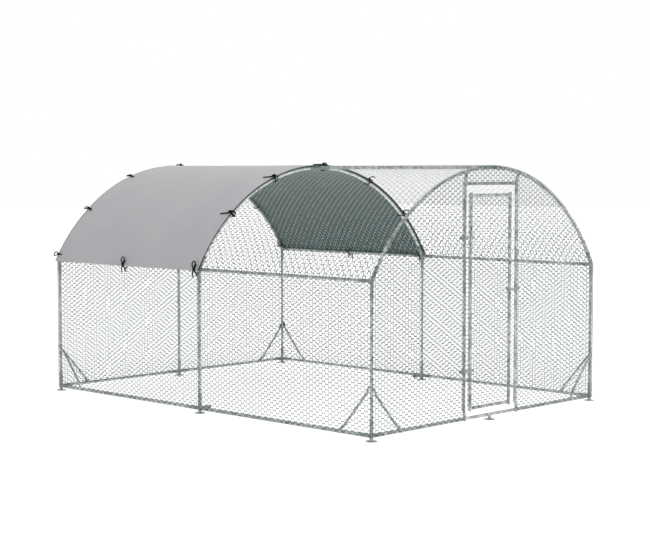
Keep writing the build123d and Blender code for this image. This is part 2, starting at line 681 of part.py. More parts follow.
# Latch: a guide clamped to the free stile, a bolt that slides in it and a keeper clamped to the post
latch_y = -BAY - LATCH_OFFSET
block_y = (-BAY - LATCH_REACH, -BAY - CLAMP_BORE_R - CLAMP_WALL / 2)
block_h = LATCH_BOLT_D + 2 * LATCH_WALL
with BuildPart() as latch_guide:
    clamp(LEAF_X, LATCH_HEIGHT, -1, LEAF_EAR_BOLT)
    with Locations((LEAF_X, sum(block_y) / 2, LATCH_HEIGHT)):
        Box(LATCH_GUIDE_L, block_y[1] - block_y[0], block_h)
    bore_start = (LEAF_X - LATCH_GUIDE_L, latch_y, LATCH_HEIGHT)
    rod(bore_start, ACROSS, 2 * LATCH_GUIDE_L, LATCH_BOLT_D / 2 + LATCH_FIT, Mode.SUBTRACT)
    slot_w = LATCH_HANDLE_D + 2 * LATCH_SLOT_CLEARANCE
    slot_middle = LEAF_X - LATCH_HANDLE_BACK + LATCH_TRAVEL / 2
    with BuildSketch(Plane.XZ.offset(-latch_y)):
        with Locations((slot_middle, LATCH_HEIGHT)):
            SlotCenterToCenter(LATCH_TRAVEL, slot_w)
    extrude(amount=LATCH_REACH, mode=Mode.SUBTRACT)
save(latch_guide.part, "latch_guide")
with BuildPart() as latch_bolt:
    bolt_start = (LEAF_X - LATCH_BOLT_BACK, latch_y, LATCH_HEIGHT)
    rod(bolt_start, ACROSS, LATCH_BOLT_BACK + LATCH_BOLT_FRONT, LATCH_BOLT_D / 2)
    chamfer(latch_bolt.faces().sort_by(Axis.X)[-1].edges(), LATCH_BOLT_D / 8)
    handle = Vector(LEAF_X - LATCH_HANDLE_BACK, latch_y, LATCH_HEIGHT)
    rod(handle, -ALONG, LATCH_HANDLE_L, LATCH_HANDLE_D / 2)
    with Locations(handle - ALONG * LATCH_HANDLE_L):
        Sphere(LATCH_KNOB_D / 2)
save(latch_bolt.part, "latch_bolt")
with BuildPart() as keeper:
    clamp(DOOR_POST_X, LATCH_HEIGHT, 1, POST_EAR_BOLT)
    keeper_x = DOOR_POST_X - KEEPER_EDGE_GAP - KEEPER_W / 2
    with Locations((keeper_x, sum(block_y) / 2, LATCH_HEIGHT)):
        Box(KEEPER_W, block_y[1] - block_y[0], block_h)
    bore_start = (keeper_x - KEEPER_W, latch_y, LATCH_HEIGHT)
    rod(bore_start, ACROSS, 2 * KEEPER_W, LATCH_BOLT_D / 2 + KEEPER_CLEARANCE, Mode.SUBTRACT)
save(keeper.part, "latch_keeper")

# Bolts and nuts through the ears of the clamps
with BuildPart() as ear_bolt:
    ears = EAR_GAP + 2 * EAR_T
    with BuildSketch(Plane.XY.offset(ears / 2)):
        RegularPolygon(radius=EAR_BOLT_HEAD_WIDTH / 2, side_count=6, major_radius=False)
    extrude(amount=EAR_BOLT_HEAD_H)
    shank = ears + EAR_BOLT_HEAD_H + EAR_BOLT_TAIL
    rod((0, 0, ears / 2), -UP, shank, EAR_BOLT_D / 2)
    with BuildSketch(Plane.XY.offset(-ears / 2 - EAR_BOLT_HEAD_H)):
        RegularPolygon(radius=EAR_BOLT_HEAD_WIDTH / 2, side_count=6, major_radius=False)
    extrude(amount=EAR_BOLT_HEAD_H)
ear_bolts = {
    "clamp_bolts_frame": [(-DOOR_POST_X - POST_EAR_BOLT, height) for height in HINGE_HEIGHTS]
    + [(DOOR_POST_X + POST_EAR_BOLT, LATCH_HEIGHT)],
    "clamp_bolts_door": [(-LEAF_X + LEAF_EAR_BOLT, height) for height in HINGE_HEIGHTS]
    + [(LEAF_X - LEAF_EAR_BOLT, LATCH_HEIGHT)],
}
for name, places in ear_bolts.items():
    with BuildPart() as bolts:
        with Locations(*[Plane(origin=(x, -BAY, z), z_dir=-ALONG) for x, z in places]):
            add(ear_bolt.part)
    save(bolts.part, name)

# Set screws of the sleeves, whose ends bear on the tubes
with BuildPart() as screw:
    rod((0, 0, TUBE_R), UP, SLEEVE_R - TUBE_R, SCREW_D / 2)
    with BuildSketch(Plane.XY.offset(SLEEVE_R)):
        RegularPolygon(radius=SCREW_HEAD_WIDTH / 2, side_count=6, major_radius=False)
    extrude(amount=SCREW_HEAD_H)
with BuildPart() as screws:
    with Locations(*screw_seats):
        add(screw.part)
save(screws.part, "sleeve_screws")

# Bolts of the flattened ends: head inside, thread in the flat end
with BuildPart() as tab_bolt:
    rod((0, 0, -TUBE_R), UP, TUBE_D + TAB_T, BOLT_D / 2)
    with BuildSketch(Plane.XY.offset(-TUBE_R - BOLT_HEAD_H)):
        RegularPolygon(radius=BOLT_HEAD_WIDTH / 2, side_count=6, major_radius=False)
    extrude(amount=BOLT_HEAD_H)
with BuildPart() as tab_bolts:
    with Locations(*bolt_seats):
        add(tab_bolt.part)
save(tab_bolts.part, "tab_bolts")

# Side nets
for side, across in LEFT_RIGHT.items():
    seat = HALF_WIDTH + WALL_NET_SEAT if across > 0 else -HALF_WIDTH - WALL_NET_SEAT - NET_T
    for end, along in FRONT_REAR.items():
        near, far = sorted((along * NET_SPLIT / 2, along * (BAY + NET_LAP)))
        low = (near, BASE_HEIGHT - NET_LAP)
        high = (far, EAVE_HEIGHT)
        origin = (along * EYELET_INSET, EAVE_HEIGHT - SIDE_CELL_DROP)
        save(hex_net(Plane.YZ.offset(seat), panel, low, high, origin), f"net_{side}_{end}")

# Nets of the end walls
net_bottom = BASE_HEIGHT - NET_LAP
net_top = RIDGE_HEIGHT + NET_LAP
front_plane = Plane.XZ.offset(BAY + WALL_NET_SEAT)
rear_plane = Plane.XZ.offset(-BAY - WALL_NET_SEAT - NET_T)
for side, across in LEFT_RIGHT.items():
    inner, outer = across * DOOR_POST_X, across * (HALF_WIDTH + NET_LAP)
    low = (min(inner, outer), net_bottom)
    high = (max(inner, outer), net_top)
    origin = (across * (DOOR_POST_X + COLUMN_STEP), net_bottom)
    save(hex_net(front_plane, arched_panel, low, high, origin), f"net_front_{side}")
    inner = across * NET_SPLIT / 2
    low = (min(inner, outer), net_bottom)
    high = (max(inner, outer), net_top)
    origin = (across * (COLUMN_STEP + REAR_CELL_SHIFT[0]), net_bottom + REAR_CELL_SHIFT[1])
    save(hex_net(rear_plane, arched_panel, low, high, origin), f"net_rear_{side}")
low = (NET_SPLIT - DOOR_POST_X, HEADER_HEIGHT - NET_LAP)
high = (DOOR_POST_X - NET_SPLIT, net_top)
save(hex_net(front_plane, arched_panel, low, high, (0, HEADER_HEIGHT)), "net_over_door")

# Door net, on the inner side of the leaf
door_plane = Plane.XZ.offset(BAY - DOOR_NET_SEAT - NET_T)
low = (-LEAF_X - NET_LAP, LEAF_BOTTOM - NET_LAP)
high = (LEAF_X + NET_LAP, LEAF_TOP + NET_LAP)
save(hex_net(door_plane, panel, low, high, (0, LEAF_BOTTOM)), "net_door")

# Roof nets, in flat strips with one centred on the ridge and a half strip at each eave
strip_edges = [STRIP_ANGLE / 2 + STRIP_ANGLE * i for i in range(STRIPS_PER_HALF_ARCH)]
strip_edges = [-EAVE_ANGLE] + [-edge for edge in reversed(strip_edges)] + strip_edges + [EAVE_ANGLE]
for end, along in FRONT_REAR.items():
    near, far = sorted((along * NET_SPLIT / 2, along * (BAY + NET_LAP)))
    strips = []
    for start, finish in zip(strip_edges, strip_edges[1:]):
        middle = (start + finish) / 2
        half = (ARCH_RADIUS + ROOF_NET_SEAT) * tan(radians((finish - start) / 2)) - NET_SPLIT / 2
        plane = Plane(origin=arch_point(middle, 0, ROOF_NET_SEAT), x_dir=ALONG, z_dir=arch_out(middle))
        origin = (along * EYELET_INSET, ROOF_CELL_SHIFT)
        strips.append(hex_net(plane, panel, (near, -half), (far, half), origin))
    with BuildPart() as roof_net:
        add(strips)
    save(roof_net.part, f"net_roof_{end}")

# Frames of the ties and places of the eyelets: along the cover's two arched edges, then along its two eaves
eyelet_planes = []
cover_middle = COVER_SEAT + COVER_T / 2
corner_tie = radians(EAVE_ANGLE) * ARCH_RADIUS - CORNER_TIE_RISE
arched_edges = {
    "front_left": (0.0, -ALONG, FRONT_LEFT_TIES),
    "front_right": (0.0, -ALONG, FRONT_RIGHT_TIES),
    "rear": (BAY, ALONG, REAR_TIES),
    "corner": (BAY, ALONG, (-corner_tie, corner_tie)),
}
tie_planes = {}
for edge, (y, to_edge, places) in arched_edges.items():
    tie_planes[edge] = []
    for place in places:
        angle = degrees(place / ARCH_RADIUS)
        tie_planes[edge].append(Plane(origin=arch_point(angle, y), x_dir=to_edge, z_dir=arch_out(angle)))
        eyelet = arch_point(angle, y, cover_middle) - to_edge * EYELET_INSET
        eyelet_planes.append(Plane(origin=eyelet, z_dir=arch_out(angle)))
tie_planes["eave"] = []
for across in LEFT_RIGHT.values():
    for y in (EYELET_INSET, BAY / 2):
        angle = across * EAVE_ANGLE
        down = arch_along(angle) * across
        tie_planes["eave"].append(Plane(origin=arch_point(angle, y), x_dir=down, z_dir=arch_out(angle)))
        angle -= across * degrees(EYELET_INSET / (ARCH_RADIUS + cover_middle))
        eyelet_planes.append(Plane(origin=arch_point(angle, y, cover_middle), z_dir=arch_out(angle)))

# Cover over the rear bay
with BuildPart() as cover:
    with BuildSketch(Plane.XZ.offset(-BAY - COVER_OVERHANG)):
        with BuildLine():
            centre = (0, ARCH_CENTRE_Z)
            sweep_angles = (90 - COVER_EDGE_ANGLE, 2 * COVER_EDGE_ANGLE)
            inner = CenterArc(centre, ARCH_RADIUS + COVER_SEAT, *sweep_angles)
            outer = CenterArc(centre, ARCH_RADIUS + COVER_SEAT + COVER_T, *sweep_angles)
            Line(inner @ 0, outer @ 0)
            Line(inner @ 1, outer @ 1)
        make_face()
    extrude(amount=BAY + 2 * COVER_OVERHANG)
    for plane in eyelet_planes:
        start = plane.origin - plane.z_dir * TUBE_D
        hole_r = EYELET_HOLE_D / 2 + EYELET_WALL + EYELET_CLEARANCE
        rod(start, plane.z_dir, 2 * TUBE_D, hole_r, Mode.SUBTRACT)
save(cover.part, "roof_cover")
with BuildPart() as eyelet:
    flange_low = COVER_T / 2 + EYELET_CLEARANCE
    rod((0, 0, -EYELET_TOP), UP, 2 * EYELET_TOP, EYELET_HOLE_D / 2 + EYELET_WALL)
    for level in (-EYELET_TOP, flange_low):
        rod((0, 0, level), UP, EYELET_FLANGE_T, EYELET_FLANGE_D / 2)
    rod((0, 0, -EYELET_TOP), UP, 2 * EYELET_TOP, EYELET_HOLE_D / 2, Mode.SUBTRACT)
with BuildPart() as eyelets:
    with Locations(*eyelet_planes):
        add(eyelet.part)
save(eyelets.part, "cover_eyelets")

# Ties: a loop round the tube and through the eyelet, its knot, and the bow's loop and tails
with BuildPart() as wrap:
    with BuildLine(Plane.XZ) as ring:
        corners = (
            (-EYELET_INSET, -TIE_UNDER),
            (TIE_OUTER, -TIE_UNDER),
            (TIE_OUTER, TIE_LEVEL),
            (-EYELET_INSET, TIE_LEVEL),
        )
        FilletPolyline(*corners, radius=TIE_RING_CORNER_R, close=True)
    with BuildSketch(Plane(origin=ring.line @ 0, z_dir=ring.line % 0)):
        Circle(TIE_D / 2)
    sweep()
    with Locations((KNOT_AT, 0, TIE_LEVEL + KNOT_RISE)):
        Sphere(KNOT_D / 2, rotation=(90, 0, 0))
with BuildPart() as wraps:
    for planes in tie_planes.values():
        with Locations(*planes):
            add(wrap.part)
save(wraps.part, "tie_wraps")
front_cords = [cord(FRONT_LOOP), cord(FRONT_TAIL)]
tie_cords = {
    "front_left": [*front_cords, cord(LEFT_EAR)],
    "front_right": [*front_cords, cord(RIGHT_EAR)],
    "rear": [cord(REAR_LOOP), cord(REAR_TAIL)],
    "corner": [cord(CORNER_LOOP)],
    "eave": [cord(EAVE_LOOP), cord(EAVE_TAIL), cord(EAVE_SIDE_TAIL)],
}
with BuildPart() as cords:
    for edge, pieces in tie_cords.items():
        for piece in pieces:
            with Locations(*tie_planes[edge]):
                add(piece)
save(cords.part, "tie_cords")
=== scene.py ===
"""Looks of a walk-in chicken coop: twisted wire nets, a tied cloth cover and a finish for each piece
of the frame."""

import math

import bpy
import numpy as np
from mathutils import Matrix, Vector


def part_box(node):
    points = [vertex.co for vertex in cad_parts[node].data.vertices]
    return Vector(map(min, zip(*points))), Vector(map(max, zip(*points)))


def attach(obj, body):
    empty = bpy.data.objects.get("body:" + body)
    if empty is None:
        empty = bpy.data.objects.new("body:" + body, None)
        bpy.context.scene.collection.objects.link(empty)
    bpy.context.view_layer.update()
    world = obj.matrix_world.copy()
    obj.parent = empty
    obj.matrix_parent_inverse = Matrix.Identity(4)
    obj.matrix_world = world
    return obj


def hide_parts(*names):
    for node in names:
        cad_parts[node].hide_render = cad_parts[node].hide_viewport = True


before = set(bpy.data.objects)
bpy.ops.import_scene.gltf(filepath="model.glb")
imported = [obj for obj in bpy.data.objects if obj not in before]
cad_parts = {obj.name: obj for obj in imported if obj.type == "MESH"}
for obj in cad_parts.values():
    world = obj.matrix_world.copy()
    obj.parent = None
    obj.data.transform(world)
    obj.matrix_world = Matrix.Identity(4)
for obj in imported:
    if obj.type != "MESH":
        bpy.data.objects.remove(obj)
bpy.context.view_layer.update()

# Camera, fitted to a picture of 650 by 551 pixels
IMAGE_WIDTH = 650
FOCAL_PIXELS = 1518.4
SENSOR_WIDTH = 36.0
CAMERA_PLACE = (-9.472, -9.221, 1.954)
CAMERA_YAW = 0.8027  # from +Y towards +X, in radians
CAMERA_PITCH = 0.0682  # below level

# Floor and light
FLOOR_HALF = 60.0
FLOOR_GREY = 0.35
FLOOR_GLOW = 0.8  # keeps the floor white under the roof
TOP_LIGHT_HEIGHT = 11.0
TOP_LIGHT_SIZE = 10.0
TOP_LIGHT_POWER = 300.0

# Finishes: scales are per metre
ZINC_CRYSTAL_WEIGHT = 1.4  # of the crystals' tone beside the drift's
ZINC_TONE = 0.42  # brings the sum of both to about one at most
ZINC_RANGE = (0.2, 0.8)  # of the tone between the dark and the light colour
ZINC_DRIFT_SCALE = 9.0
ZINC_GRAIN_SCALE = 260.0
YARN_STEP = 0.0036
WAVE_RATE = 20.0  # radians that a wave texture turns in a unit
CLOTH_DRIFT_SCALE = 2.2
BRAID_SCALE = 700.0
BRAID_DRIFT_SCALE = 60.0

# Wire nets, in metres
CELL_STEP = (0.0329, 0.0397)  # between columns and between rows of cells
WIRE_SIDES = 4
WIRE_HALF_WIDTH = 0.0019
TWIST_HALF_WIDTH = 0.0033
TWIST_HALF_DEPTH = 0.0019
FRONT_WIRE_SHARE = 1.15  # of the side walls' wires, as are the next two
RIDGE_WIRE_SHARE = 0.44
EAVE_WIRE_SHARE = 1.4
EAVE_WIRE_POWER = 3.0  # of the rise from one to the other
TWIST_TURN = 1.5 * math.pi
TWIST_SEGMENTS = 3
TWIST_END = 0.7  # of a twist's width at its ends
NET_FLATNESS = 0.45  # of the rolled wires' depth to their width
SELVAGE_R = 0.0013
NET_LIFT = 0.0006  # of the wires' middle above the outer face of a net's solid
CLIP_STEPS = 14
ARC_STEP = 0.03  # between points of a curved selvage

# Cover
COVER_T = 0.001
COVER_ALONG = 97  # points of its grid
COVER_AROUND = 177
COVER_SAG = 0.003  # between the arches
TIE_PULL = 0.0016  # height of the folds at a tie
TIE_PULL_REACH = 0.09
TIE_PULL_START = 0.03  # from an eyelet, in which its folds mostly rise
TIE_FOLDS = 5
HEM_TUCK = 0.004  # of the lower edges between their ties
HEM_TUCK_SHARE = 0.1  # of the cloth from the ridge to an edge, in which it is drawn in
RIPPLES = 9
RIPPLE_HEIGHT = 0.0004
RIPPLE_LEAST = 0.4  # of that height
RIPPLE_RATES = (2, 5)  # waves per metre along the coop: the fewest, and how many more at most
RIPPLE_SLANT = 3  # waves per metre round the arch, at most half of it each way
RIPPLE_SEED = 11
MAP_HALF = 0.49  # of the bake's width for each side of the cloth
HEM_WIDTH = 0.03
HEM_T = 0.0009
HEM_AROUND = 4  # points of its grid
BINDING_WIDTH = 0.005
BINDING_T = 0.0008
STITCH_L = 0.0055
STITCH_STEP = 0.0085
STITCH_INSET = 0.0245
STITCH_R = 0.00045
STITCH_SIDES = 6
STITCH_SEGMENTS = 3
STITCH_END = 0.4  # of its width

# Ties, in millimetres. A route is in its tie's own frame: from the knot to the cover's edge, along the tube
# and out.
MM = 0.001
TIE_D = 10.0
TIE_BEVEL_STEPS = 3
TIE_CURVE_STEPS = 8
TIE_LEVEL = 30.35  # of the knots above the axis of the tube
TIE_UNDER = 20.0
TIE_OUTER = 29.5
TIE_CORNER = 8.0  # from the corners of a tie's ring to the points beside them
EYELET_INSET = 27.0
FRONT_LEFT_TIES = (-1128.0, -564.0, 42.0)  # along the arch from the ridge
FRONT_RIGHT_TIES = (640.0, 1187.0)
REAR_TIES = (-1128.0, -564.0, 42.0, 564.0, 1128.0)
CORNER_TIE_RISE = 45.0  # along the arch from the eave
KNOT_AT = 10.0
KNOT_RISE = 5.5
KNOT_COIL_R = 6.0
KNOT_TURNS = 1.75
KNOT_POINTS = 15
KNOT_REACH = 6.0
FRONT_LOOP = (
    (6, 5.5, 1),
    (15, 12, 2),
    (25, 17, -5),
    (31, 19, -18),
    (33.5, 11, -31),
    (34, -5, -36),
    (32, -18, -26),
    (28, -19.5, -11),
    (17, -13, 2),
    (6, -5.5, 1),
)
FRONT_TAIL = (
    (-5.5, -5.5, 1),
    (-20, -10.5, 0.5),
    (-39, -14, 0),
    (-60, -15, -0.5),
    (-81, -18.5, -0.9),
    (-100, -24.5, -0.9),
)
LEFT_EAR = ((-3, 5, 8), (8, 4, 12.5), (21, 2, 13), (34, 0, 8), (45, -1, -1), (52, -2, -11))
RIGHT_EAR = ((-3, 5, 8), (5, 4.5, 17), (17, 4, 23), (32, 3, 25), (48, 2, 23), (63, 0, 17))
REAR_LOOP = (
    (6, 5.5, 2),
    (18, 11, 3),
    (31, 14, 3),
    (43, 14, 2.5),
    (52.5, 6.5, 2),
    (53, -6, 2),
    (44, -14, 2.5),
    (31, -14.5, 3),
    (18, -11, 3),
    (6, -5.5, 2),
)
REAR_TAIL = ((-5.5, 5.5, 1), (-19, 11.5, 0.5), (-36, 14.5, 0), (-52, 19.5, -0.9), (-66, 26, -0.9))
CORNER_LOOP = (
    (6, 5.5, 2),
    (19, 13, 3),
    (35, 18, 3),
    (50, 18.5, 3),
    (60.5, 8.5, 2),
    (61, -7.5, 2),
    (51, -18, 3),
    (36, -18.5, 3),
    (19, -13, 3),
    (6, -5.5, 2),
)
EAVE_LOOP = (
    (-4.8, -6, 5),
    (-15, -18, 10.5),
    (-28, -28, 11.5),
    (-42, -34, 13),
    (-55, -28.5, 14),
    (-60.5, -14, 14),
    (-54.5, -0.5, 13),
    (-40, 5, 11.5),
    (-22.5, 6, 10.5),
    (-5.8, 5, 5),
)
EAVE_TAIL = ((5.6, -5.5, 0.7), (19, -7.5, 0), (34, -8, -10), (49, -10, -21), (64, -13, -32))
EAVE_SIDE_TAIL = ((5.6, 5.5, 0.7), (18, 14, 0), (30, 25, -8), (43, 34, -18.5), (56, 45, -28))


def middle_of(node):
    low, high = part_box(node)
    return (low + high) / 2


# Places read from the frame
SIDE_X = middle_of("post_front_right").x
REAR_Y = middle_of("arch_rear_left").y
EAVE_Z = middle_of("eave_rails_left").z
RIDGE_Z = middle_of("ridge_rails").z
RISE = RIDGE_Z - EAVE_Z
ARCH_R = (SIDE_X**2 + RISE**2) / (2 * RISE)
ARCH_Z = RIDGE_Z - ARCH_R
EAVE_ANGLE = math.asin(SIDE_X / ARCH_R)
NET_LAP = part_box("net_rear_right")[1].x - SIDE_X
ROOF_NET_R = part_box("net_roof_rear")[1].z - ARCH_Z + NET_LIFT
COVER_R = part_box("roof_cover")[1].z - ARCH_Z
COVER_FRONT, COVER_REAR = (corner.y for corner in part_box("roof_cover"))
COVER_EDGE = COVER_R * math.asin(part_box("roof_cover")[1].x / COVER_R)  # along the arc from the ridge


# Materials
def start_material(name):
    material = bpy.data.materials.new(name)
    material.use_nodes = True
    nodes = material.node_tree.nodes
    return material, nodes, material.node_tree.links, nodes["Principled BSDF"]


def add_noise(nodes, links, coordinates, scale, detail):
    noise = nodes.new("ShaderNodeTexNoise")
    noise.inputs["Scale"].default_value = scale
    noise.inputs["Detail"].default_value = detail
    links.new(coordinates, noise.inputs["Vector"])
    return noise.outputs["Fac"]


def add_ramp(nodes, links, factor, dark, light, start=0.3, end=0.7):
    ramp = nodes.new("ShaderNodeValToRGB")
    ramp.color_ramp.elements[0].position = start
    ramp.color_ramp.elements[0].color = (*dark, 1)
    ramp.color_ramp.elements[1].position = end
    ramp.color_ramp.elements[1].color = (*light, 1)
    links.new(factor, ramp.inputs["Fac"])
    return ramp.outputs["Color"]


def add_range(nodes, links, factor, low, high):
    spread = nodes.new("ShaderNodeMapRange")
    spread.inputs["To Min"].default_value = low
    spread.inputs["To Max"].default_value = high
    links.new(factor, spread.inputs["Value"])
    return spread.outputs["Result"]


def add_math(nodes, links, operation, first, second):
    node = nodes.new("ShaderNodeMath")
    node.operation = operation
    for socket, value in zip(node.inputs, (first, second)):
        if isinstance(value, float):
            socket.default_value = value
        else:
            links.new(value, socket)
    return node.outputs["Value"]


def add_bump(nodes, links, shader, height, strength, distance):
    bump = nodes.new("ShaderNodeBump")
    bump.inputs["Strength"].default_value = strength
    bump.inputs["Distance"].default_value = distance
    links.new(height, bump.inputs["Height"])
    links.new(bump.outputs["Normal"], shader.inputs["Normal"])


def zinc(name, dark, light, metallic, roughness, crystal):
    """Zinc-coated steel: the crystals of the coating over a slow drift of tone."""
    material, nodes, links, shader = start_material(name)
    place = nodes.new("ShaderNodeTexCoord").outputs["Object"]
    crystals = nodes.new("ShaderNodeTexVoronoi")
    crystals.inputs["Scale"].default_value = 1 / crystal
    links.new(place, crystals.inputs["Vector"])
    drift = add_noise(nodes, links, place, ZINC_DRIFT_SCALE, detail=6.0)
    tone = add_math(nodes, links, "MULTIPLY_ADD", crystals.outputs["Color"], ZINC_CRYSTAL_WEIGHT)
    links.new(drift, tone.node.inputs[2])
    tone = add_math(nodes, links, "MULTIPLY", tone, ZINC_TONE)
    links.new(add_ramp(nodes, links, tone, dark, light, *ZINC_RANGE), shader.inputs["Base Color"])
    dull = add_range(nodes, links, tone, roughness + 0.12, roughness - 0.1)
    links.new(dull, shader.inputs["Roughness"])
    grain = add_noise(nodes, links, place, ZINC_GRAIN_SCALE, detail=3.0)
    add_bump(nodes, links, shader, grain, strength=0.12, distance=0.0006)
    shader.inputs["Metallic"].default_value = metallic
    return material


def cloth(name, dark, light):
    """Coated woven cloth: flat yarns crossing each other under a thin film."""
    material, nodes, links, shader = start_material(name)
    weave_map = nodes.new("ShaderNodeUVMap")
    weave_map.uv_map = "weave"
    heights = []
    for direction in ("X", "Y"):
        yarns = nodes.new("ShaderNodeTexWave")
        yarns.bands_direction = direction
        yarns.inputs["Scale"].default_value = 2 * math.pi / (WAVE_RATE * YARN_STEP)
        links.new(weave_map.outputs["UV"], yarns.inputs["Vector"])
        heights.append(yarns.outputs["Fac"])
    weave = add_math(nodes, links, "MAXIMUM", *heights)
    place = nodes.new("ShaderNodeTexCoord").outputs["Object"]
    drift = add_noise(nodes, links, place, CLOTH_DRIFT_SCALE, detail=7.0)
    links.new(add_ramp(nodes, links, drift, dark, light), shader.inputs["Base Color"])
    links.new(add_range(nodes, links, drift, low=0.5, high=0.64), shader.inputs["Roughness"])
    add_bump(nodes, links, shader, weave, strength=0.25, distance=0.0003)
    shader.inputs["Sheen Weight"].default_value = 0.15
    return material


def webbing(name, dark, light, roughness, gloss=0.5):
    """Braided or woven trim."""
    material, nodes, links, shader = start_material(name)
    place = nodes.new("ShaderNodeTexCoord").outputs["Object"]
    strands = nodes.new("ShaderNodeTexVoronoi")
    strands.inputs["Scale"].default_value = BRAID_SCALE
    links.new(place, strands.inputs["Vector"])
    drift = add_noise(nodes, links, place, BRAID_DRIFT_SCALE, detail=4.0)
    links.new(add_ramp(nodes, links, drift, dark, light), shader.inputs["Base Color"])
    dull = add_range(nodes, links, drift, roughness - 0.08, roughness + 0.1)
    links.new(dull, shader.inputs["Roughness"])
    add_bump(nodes, links, shader, strands.outputs["Distance"], strength=0.5, distance=0.0006)
    shader.inputs["Specular IOR Level"].default_value = gloss
    return material


# Each zinc has a dark and a light colour, then how metallic and how rough it is and its crystals' size.
# Each webbing has its two colours, then how rough and how glossy it is.
tube_steel = zinc("tube_steel", (0.19, 0.21, 0.206), (0.69, 0.722, 0.715), 0.55, 0.42, 0.022)
# painted light: a much lighter copy of the tube zinc for the middle arch, which lies in the shade of the
# cover's front edge
painted_light_steel = zinc("painted_light_steel", (0.5, 0.53, 0.525), (0.93, 0.96, 0.95), 0.4, 0.45, 0.022)
leaf_steel = zinc("leaf_steel", (0.13, 0.144, 0.142), (0.57, 0.598, 0.593), 0.55, 0.42, 0.022)
joint_steel = zinc("joint_steel", (0.14, 0.166, 0.16), (0.46, 0.505, 0.495), 0.5, 0.46, 0.02)
dark_steel = zinc("dark_steel", (0.045, 0.05, 0.05), (0.11, 0.12, 0.12), 0.6, 0.45, 0.004)
hardware_steel = zinc("hardware_steel", (0.32, 0.34, 0.338), (0.5, 0.52, 0.517), 0.6, 0.4, 0.006)
net_wire = zinc("net_wire", (0.035, 0.07, 0.065), (0.08, 0.125, 0.117), 0.3, 0.5, 0.012)
# painted light: a much lighter copy of the net wire for the roof net under the cover, where the wires lie
# in the cloth's shade
painted_light_wire = zinc("painted_light_wire", (0.6, 0.69, 0.67), (0.8, 0.88, 0.86), 0.2, 0.5, 0.012)
eyelet_metal = zinc("eyelet_metal", (0.42, 0.42, 0.41), (0.62, 0.62, 0.6), 0.85, 0.3, 0.003)
cover_outside = cloth("cover_outside", (0.297, 0.294, 0.312), (0.322, 0.32, 0.337))
cover_inside = cloth("cover_inside", (0.02, 0.05, 0.046), (0.031, 0.069, 0.064))
binding_tape = webbing("binding_tape", (0.006, 0.009, 0.0085), (0.016, 0.021, 0.02), 0.7, 0.1)
stitch_thread = webbing("stitch_thread", (0.3, 0.3, 0.31), (0.42, 0.42, 0.43), 0.75)
tie_black = webbing("tie_black", (0.002, 0.002, 0.0022), (0.008, 0.008, 0.009), 0.7, 0.1)


# Pieces
def finish_piece(obj, body, nodes=()):
    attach(obj, body)
    if nodes:
        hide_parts(*nodes)
    return obj


def add_mesh(name, points, faces, materials, smooth=True):
    mesh = bpy.data.meshes.new(name)
    mesh.from_pydata(points, [], faces)
    for material in materials:
        mesh.materials.append(material)
    mesh.polygons.foreach_set("use_smooth", np.full(len(mesh.polygons), smooth))
    obj = bpy.data.objects.new(name, mesh)
    bpy.context.scene.collection.objects.link(obj)
    return obj


def add_map(obj, name, places):
    """A UV map from one place for each vertex."""
    corners = np.empty(len(obj.data.loops), dtype=np.int32)
    obj.data.loops.foreach_get("vertex_index", corners)
    obj.data.uv_layers.new(name=name).data.foreach_set("uv", places[corners].astype(np.float32).ravel())


# Surfaces that nets and stitches lie on: each turns flat places into points and outward directions
def on_side(level, outward):
    def place(flat):
        points = np.column_stack([np.full(len(flat), level), flat])
        return points, np.tile((outward, 0.0, 0.0), (len(flat), 1))

    return place


def on_end(level, outward):
    def place(flat):
        points = np.column_stack([flat[:, 0], np.full(len(flat), level), flat[:, 1]])
        return points, np.tile((0.0, outward, 0.0), (len(flat), 1))

    return place


def on_roof(flat):
    """Up from the plan, so that the cells are drawn out towards the eaves."""
    sine = flat[:, 1] / ROOF_NET_R
    outward = np.column_stack([sine, np.zeros(len(flat)), np.sqrt(1 - sine**2)])
    points = outward * ROOF_NET_R + (0.0, 0.0, ARCH_Z)
    points[:, 1] = flat[:, 0]
    return points, outward


# How far flat places lie inside a net's border
def in_rectangle(low, high):
    return lambda flat: np.minimum(flat - low, high - flat).min(axis=1)


def in_arch(low, high):
    def room(flat):
        straight = np.minimum(flat - low, high - flat).min(axis=1)
        curved = ARCH_R + NET_LAP - np.hypot(flat[:, 0], flat[:, 1] - ARCH_Z)
        return np.where(flat[:, 1] > EAVE_Z, np.minimum(straight, curved), straight)

    return room


def rectangle_line(low, high):
    return np.array([(low[0], low[1]), (high[0], low[1]), (high[0], high[1]), (low[0], high[1])])


def arch_line(low, high):
    """A closed border: the base, then the curve between the two sides."""
    radius = ARCH_R + NET_LAP
    start, end = (math.asin(min(1.0, max(-1.0, side / radius))) for side in (high[0], low[0]))
    angles = np.linspace(start, end, 2 + int((start - end) * radius / ARC_STEP))
    curve = np.column_stack([np.sin(angles), np.cos(angles)]) * radius + (0.0, ARCH_Z)
    return np.vstack([[(low[0], low[1]), (high[0], low[1])], curve])


def roof_line(low, high):
    around = np.linspace(low[1], high[1], int((high[1] - low[1]) / ARC_STEP))
    near = np.column_stack([np.full(len(around), low[0]), around])
    far = np.column_stack([np.full(len(around), high[0]), around[::-1]])
    return np.vstack([near, far])


def hexagon_edges(low, high):
    """Starts and ends of the twisted and of the plain edges of the cells that cover a rectangle."""
    step = np.array(CELL_STEP)
    first = np.floor(np.array(low) / step).astype(int) - 1
    last = np.ceil(np.array(high) / step).astype(int) + 1
    column, row = np.meshgrid(np.arange(first[0], last[0]), np.arange(first[1], last[1]), indexing="ij")
    centres = np.column_stack([column.ravel(), (row + 0.5 * (column % 2)).ravel()]) * step
    corner = step * ((2 / 3, 0), (1 / 3, 1 / 2), (-1 / 3, 1 / 2), (-2 / 3, 0))
    twisted = centres + corner[1], centres + corner[2]
    plain = (
        np.vstack([centres + corner[0], centres + corner[2]]),
        np.vstack([centres + corner[1], centres + corner[3]]),
    )
    return twisted, plain


